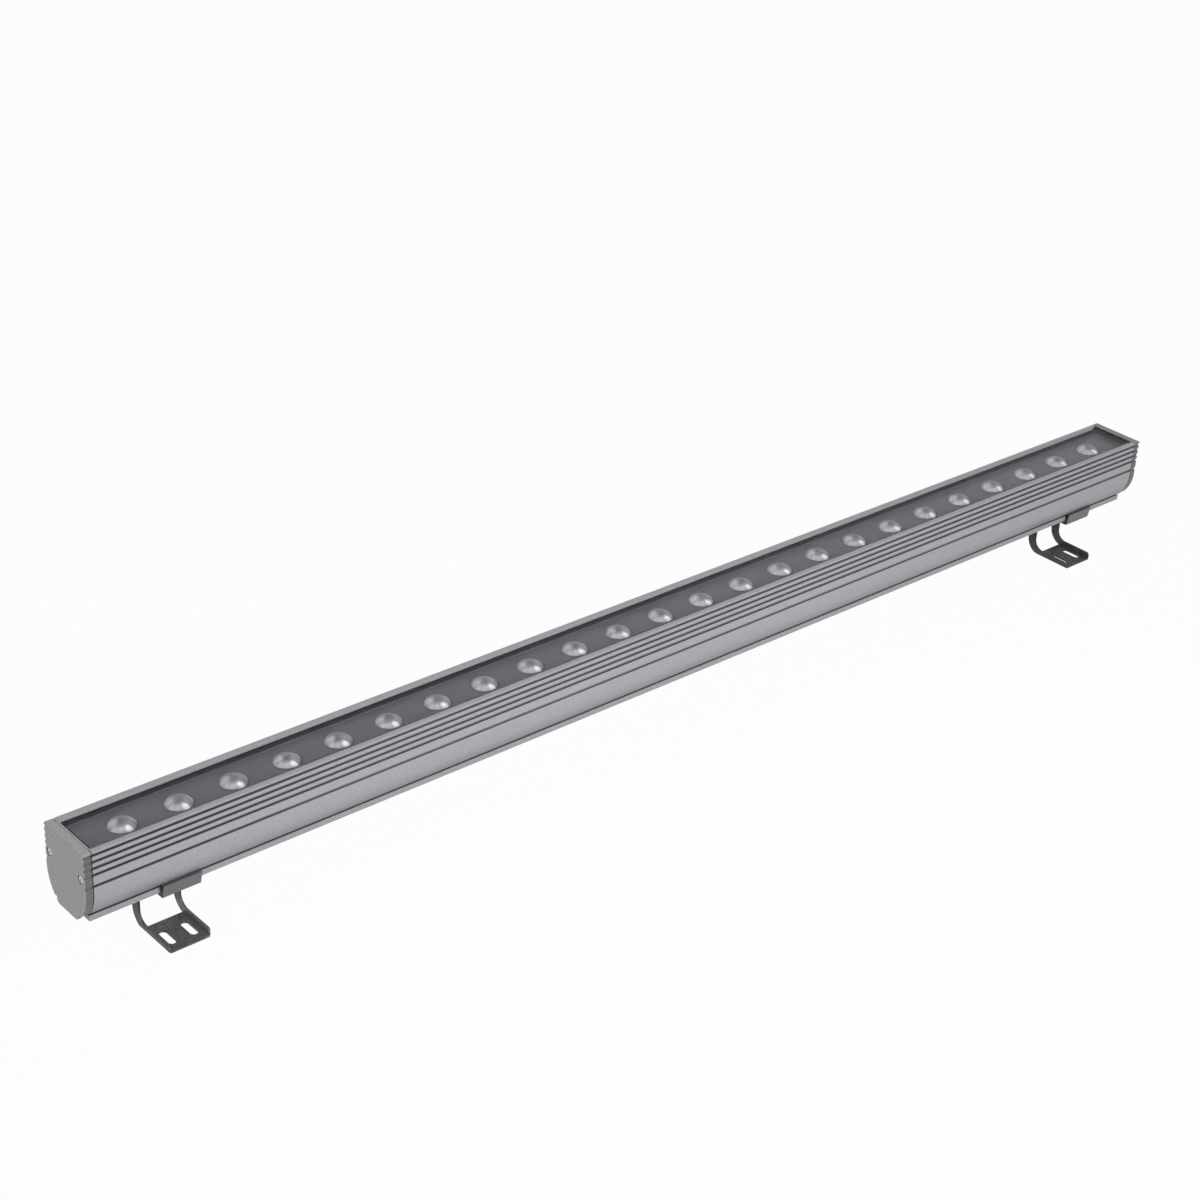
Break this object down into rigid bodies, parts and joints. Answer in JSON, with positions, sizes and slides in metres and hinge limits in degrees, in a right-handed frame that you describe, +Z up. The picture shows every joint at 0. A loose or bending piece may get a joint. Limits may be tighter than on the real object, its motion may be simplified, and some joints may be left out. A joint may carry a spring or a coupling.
{
  "type": "linear architectural light",
  "caption": "Ribbed aluminium light bar with a row of domed lenses under glass, on two folded feet that tilt on clips sliding along a rail.",
  "frame": {"origin": "on the surface that the feet stand on, under the middle of the bar", "axes": "+X along the bar towards the cable gland, +Y towards the back of the feet, +Z up, the way the light shines"},
  "size_m": [1.013, 0.0465, 0.0959],
  "materials": {
    "housing": "satin grey anodised",
    "end_cap": "fine grey powder coat",
    "gasket": "matte",
    "fastener": "plain stainless",
    "glass": "clear toughened",
    "seal": "satin black silicone",
    "panel": "matte dark blue-grey",
    "lens": "clear acrylic with a frosted face",
    "led": "phosphor dome",
    "board": "white solder mask",
    "pad": "soft grey",
    "driver": "matte grey",
    "gland": "black nylon",
    "clip": "plain mill grey",
    "bracket": "fine dark grey powder coat"
  },
  "bodies": {
    "light": {"housing_extrusion": "housing", "end_cap_left": "end_cap", "end_cap_right": "end_cap", "end_gasket_left": "gasket", "end_gasket_right": "gasket", "end_cap_screws_left": "fastener", "end_cap_screws_right": "fastener", "cover_glass": "glass", "glass_seal": "seal", "lens_panel": "panel", "lenses": "lens", "led_packages": "led", "led_board_left": "board", "led_board_right": "board", "board_screws": "fastener", "driver_pad": "pad", "driver_case": "driver", "gland_body": "gland", "gland_washer": "gasket", "gland_locknut": "gland", "gland_seal": "seal", "gland_nut": "gland"},
    "clip_left": {"rail_clip_left": "clip", "set_screw_left": "fastener", "pivot_screws_left": "fastener", "pivot_washers_left": "fastener"},
    "foot_left": {"bracket_left": "bracket"},
    "clip_right": {"rail_clip_right": "clip", "set_screw_right": "fastener", "pivot_screws_right": "fastener", "pivot_washers_right": "fastener"},
    "foot_right": {"bracket_right": "bracket"}
  },
  "joints": [
    {"name": "clip_left_slide", "type": "slide", "parent": "light", "child": "clip_left", "axis": [1, 0, 0], "range_m": [-0.045, 0.385]},
    {"name": "foot_left_tilt", "type": "hinge", "parent": "clip_left", "child": "foot_left", "pos_m": [-0.43, 0, 0.0355], "axis": [1, 0, 0], "range_deg": [-90, 15]},
    {"name": "clip_right_slide", "type": "slide", "parent": "light", "child": "clip_right", "axis": [1, 0, 0], "range_m": [-0.393, 0.036]},
    {"name": "foot_right_tilt", "type": "hinge", "parent": "clip_right", "child": "foot_right", "pos_m": [0.4385, 0, 0.0355], "axis": [1, 0, 0], "range_deg": [-90, 15]}
  ]
}
